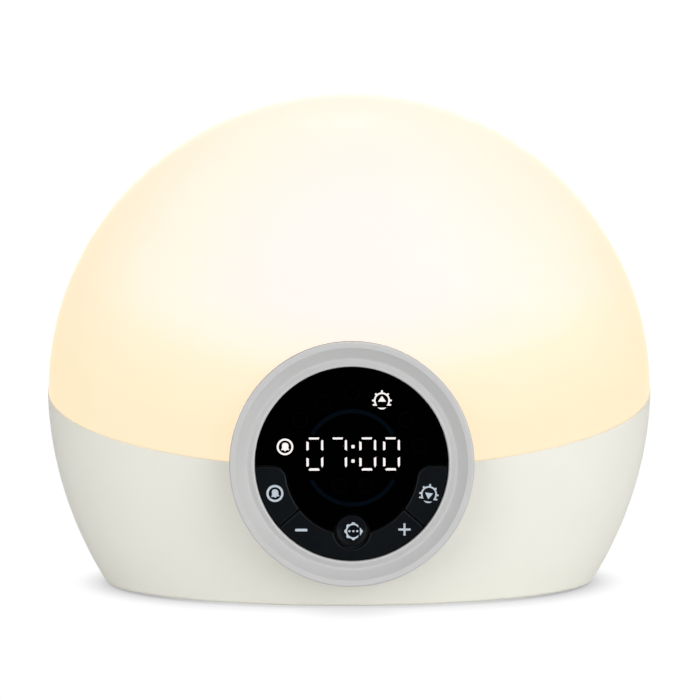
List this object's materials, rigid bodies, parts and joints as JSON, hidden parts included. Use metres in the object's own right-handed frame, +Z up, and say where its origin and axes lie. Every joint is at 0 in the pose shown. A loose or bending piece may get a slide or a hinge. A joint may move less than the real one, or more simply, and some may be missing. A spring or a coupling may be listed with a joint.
{
  "type": "sunrise alarm clock",
  "caption": "Bedside sunrise alarm clock: translucent half-round dome on an off-white base, with a round tilted console of digits and push keys.",
  "frame": {"origin": "on the floor, under the middle of the whole object", "axes": "+Z up, the console and its display face -Y, +X is the viewer's right"},
  "size_m": [0.205, 0.1144, 0.1672],
  "materials": {
    "diffuser": "satin translucent, lit from inside",
    "case": "fine satin",
    "ring": "semi gloss",
    "window": "polished black",
    "key": "semi gloss",
    "black_plastic": "satin",
    "white_plastic": "satin",
    "rubber": "matte",
    "foam": "matte",
    "light_guide": "frosted",
    "digit_module": "gloss",
    "board": "solder resist",
    "led_board": "white resist on aluminium",
    "emitter": "phosphor",
    "switch": "satin",
    "switch_plunger": "satin",
    "steel": "zinc plated",
    "brass": "bright",
    "chip": "satin",
    "capacitor": "sleeved",
    "connector": "satin",
    "ribbon": "satin",
    "wire": "satin",
    "buzzer": "satin"
  },
  "bodies": {
    "case_body": {"diffuser_dome": "diffuser", "base_shell": "case", "base_plate": "case", "rubber_feet": "rubber", "bezel_ring": "ring", "display_window": "window", "window_gasket": "foam", "display_housing": "black_plastic", "icon_light_guide": "light_guide", "led_digit_module": "digit_module", "display_pcb": "board", "switch_bodies": "switch", "rocker_pivot_pin": "steel", "display_board_screws": "steel", "ring_screws": "steel", "console_screws": "steel", "reflector_tray": "white_plastic", "console_cowl": "white_plastic", "led_board": "led_board", "led_emitters": "emitter", "led_board_screws": "steel", "tray_screws": "steel", "base_screws": "steel", "main_board": "board", "main_board_screws": "steel", "board_chips": "chip", "capacitors": "capacitor", "board_connectors": "connector", "display_ribbon_cable": "ribbon", "led_wires": "wire", "buzzer": "buzzer", "buzzer_wires": "wire", "dc_jack": "black_plastic", "dc_jack_pin": "brass", "dome_locating_ring": "white_plastic"},
    "alarm_key_body": {"alarm_key": "key", "alarm_switch_plunger": "switch_plunger"},
    "light_key_body": {"light_key": "key", "light_switch_plunger": "switch_plunger"},
    "menu_button_body": {"menu_button": "key", "menu_switch_plunger": "switch_plunger"},
    "rocker_body": {"minus_plus_rocker": "key", "rocker_switch_plungers": "switch_plunger"}
  },
  "joints": [
    {"name": "alarm_key_press", "type": "slide", "parent": "case_body", "child": "alarm_key_body", "axis": [0, 0.9877, -0.1564], "range_m": [0, 0.0005], "stiffness_N_per_m": 900, "springref_m": -0.001},
    {"name": "light_key_press", "type": "slide", "parent": "case_body", "child": "light_key_body", "axis": [0, 0.9877, -0.1564], "range_m": [0, 0.0005], "stiffness_N_per_m": 900, "springref_m": -0.001},
    {"name": "menu_button_press", "type": "slide", "parent": "case_body", "child": "menu_button_body", "axis": [0, 0.9877, -0.1564], "range_m": [0, 0.0005], "stiffness_N_per_m": 900, "springref_m": -0.001},
    {"name": "rocker_tilt", "type": "hinge", "parent": "case_body", "child": "rocker_body", "pos_m": [0, -0.04736, 0.02125], "axis": [0, 0.1564, 0.9877], "range_deg": [-1.2, 1.2], "stiffness_Nm_per_rad": 0.2}
  ]
}
